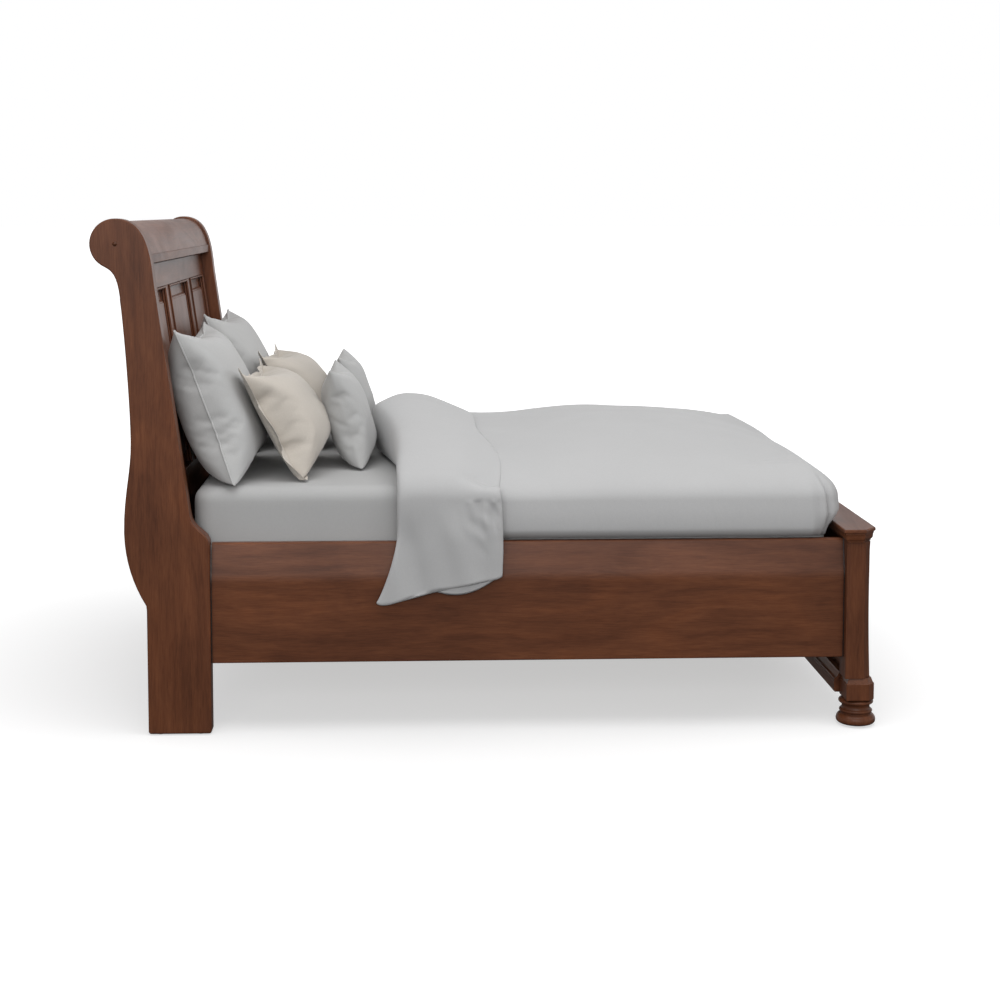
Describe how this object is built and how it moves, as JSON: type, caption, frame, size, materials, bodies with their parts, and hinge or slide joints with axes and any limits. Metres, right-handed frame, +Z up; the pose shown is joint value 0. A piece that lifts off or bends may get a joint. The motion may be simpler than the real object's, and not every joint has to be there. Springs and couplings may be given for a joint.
{
  "type": "sleigh bed",
  "caption": "Wooden sleigh bed with a tall rolled headboard, low capped footboard, deep rails, mattress, box spring, duvet and pillows.",
  "frame": {"origin": "on the floor, under the centre of the whole bed", "axes": "+X along the bed towards the foot, with the head at -X; +Y towards the bed's right side as seen from its foot; +Z up"},
  "size_m": [2.4804, 1.724, 1.626],
  "materials": {
    "stained_wood": "semi-gloss dark cherry stain",
    "plug_wood": "semi-gloss dark stain",
    "slat_wood": "plain sanded pine",
    "plate_steel": "zinc-plated screws and brackets, blackened plates",
    "glide_plastic": "matte",
    "ticking_cloth": "woven ticking",
    "sheet_cloth": "plain cotton percale",
    "duvet_cloth": "soft brushed cotton",
    "sham_cloth": "plain cotton with a piped edge",
    "beige_cloth": "plain cotton with a flange",
    "pillow_cloth": "plain cotton"
  },
  "bodies": {
    "bed_frame": {"headboard_leg_left": "stained_wood", "headboard_leg_right": "stained_wood", "headboard_roll": "stained_wood", "crest_moulding": "stained_wood", "headboard_top_rail": "stained_wood", "headboard_mid_rail": "stained_wood", "headboard_lower_panel": "stained_wood", "headboard_bottom_rail": "stained_wood", "headboard_stile_left": "stained_wood", "headboard_stile_right": "stained_wood", "headboard_mullions": "stained_wood", "headboard_panel_left": "stained_wood", "headboard_panel_centre": "stained_wood", "headboard_panel_right": "stained_wood", "headboard_panel_mouldings": "stained_wood", "roll_plugs": "plug_wood", "headboard_glides": "glide_plastic", "footboard_post_left": "stained_wood", "footboard_post_right": "stained_wood", "foot_plinth_left": "stained_wood", "foot_plinth_right": "stained_wood", "bun_foot_left": "stained_wood", "bun_foot_right": "stained_wood", "footboard_cap": "stained_wood", "footboard_cove": "stained_wood", "footboard_top_rail": "stained_wood", "footboard_bottom_rail": "stained_wood", "footboard_base_rail": "stained_wood", "footboard_mullions": "stained_wood", "footboard_panel_left": "stained_wood", "footboard_panel_centre": "stained_wood", "footboard_panel_right": "stained_wood", "footboard_panel_mouldings": "stained_wood", "bun_foot_glides": "glide_plastic", "side_rail_left": "stained_wood", "side_rail_right": "stained_wood", "ledger_left": "slat_wood", "ledger_right": "slat_wood", "slats": "slat_wood", "centre_beam": "slat_wood", "centre_beam_brackets": "plate_steel", "rail_hook_plates": "plate_steel", "post_slot_plates": "plate_steel", "plate_screws": "plate_steel", "ledger_screws": "plate_steel", "slat_screws": "plate_steel"},
    "box_spring": {"box_spring": "ticking_cloth"},
    "mattress": {"mattress": "sheet_cloth"},
    "duvet": {"duvet": "duvet_cloth"},
    "sham_left": {"sham_left": "sham_cloth"},
    "sham_right": {"sham_right": "sham_cloth"},
    "flanged_pillow_left": {"flanged_pillow_left": "beige_cloth"},
    "flanged_pillow_right": {"flanged_pillow_right": "beige_cloth"},
    "small_pillow_left": {"small_pillow_left": "pillow_cloth"},
    "small_pillow_right": {"small_pillow_right": "pillow_cloth"}
  },
  "joints": [
    {"name": "box_spring_lift", "type": "slide", "parent": "bed_frame", "child": "box_spring", "axis": [0, 0, 1], "range_m": [0, 0.4]},
    {"name": "mattress_lift", "type": "slide", "parent": "box_spring", "child": "mattress", "axis": [0, 0, 1], "range_m": [0, 0.35]},
    {"name": "duvet_lift", "type": "slide", "parent": "mattress", "child": "duvet", "axis": [0, 0, 1], "range_m": [0, 0.3]},
    {"name": "sham_left_lift", "type": "slide", "parent": "mattress", "child": "sham_left", "axis": [0, 0, 1], "range_m": [0, 0.25]},
    {"name": "sham_right_lift", "type": "slide", "parent": "mattress", "child": "sham_right", "axis": [0, 0, 1], "range_m": [0, 0.25]},
    {"name": "flanged_pillow_left_lift", "type": "slide", "parent": "sham_left", "child": "flanged_pillow_left", "axis": [0, 0, 1], "range_m": [0, 0.25]},
    {"name": "flanged_pillow_right_lift", "type": "slide", "parent": "sham_right", "child": "flanged_pillow_right", "axis": [0, 0, 1], "range_m": [0, 0.25]},
    {"name": "small_pillow_left_lift", "type": "slide", "parent": "flanged_pillow_left", "child": "small_pillow_left", "axis": [0, 0, 1], "range_m": [0, 0.25]},
    {"name": "small_pillow_right_lift", "type": "slide", "parent": "flanged_pillow_right", "child": "small_pillow_right", "axis": [0, 0, 1], "range_m": [0, 0.25]}
  ]
}
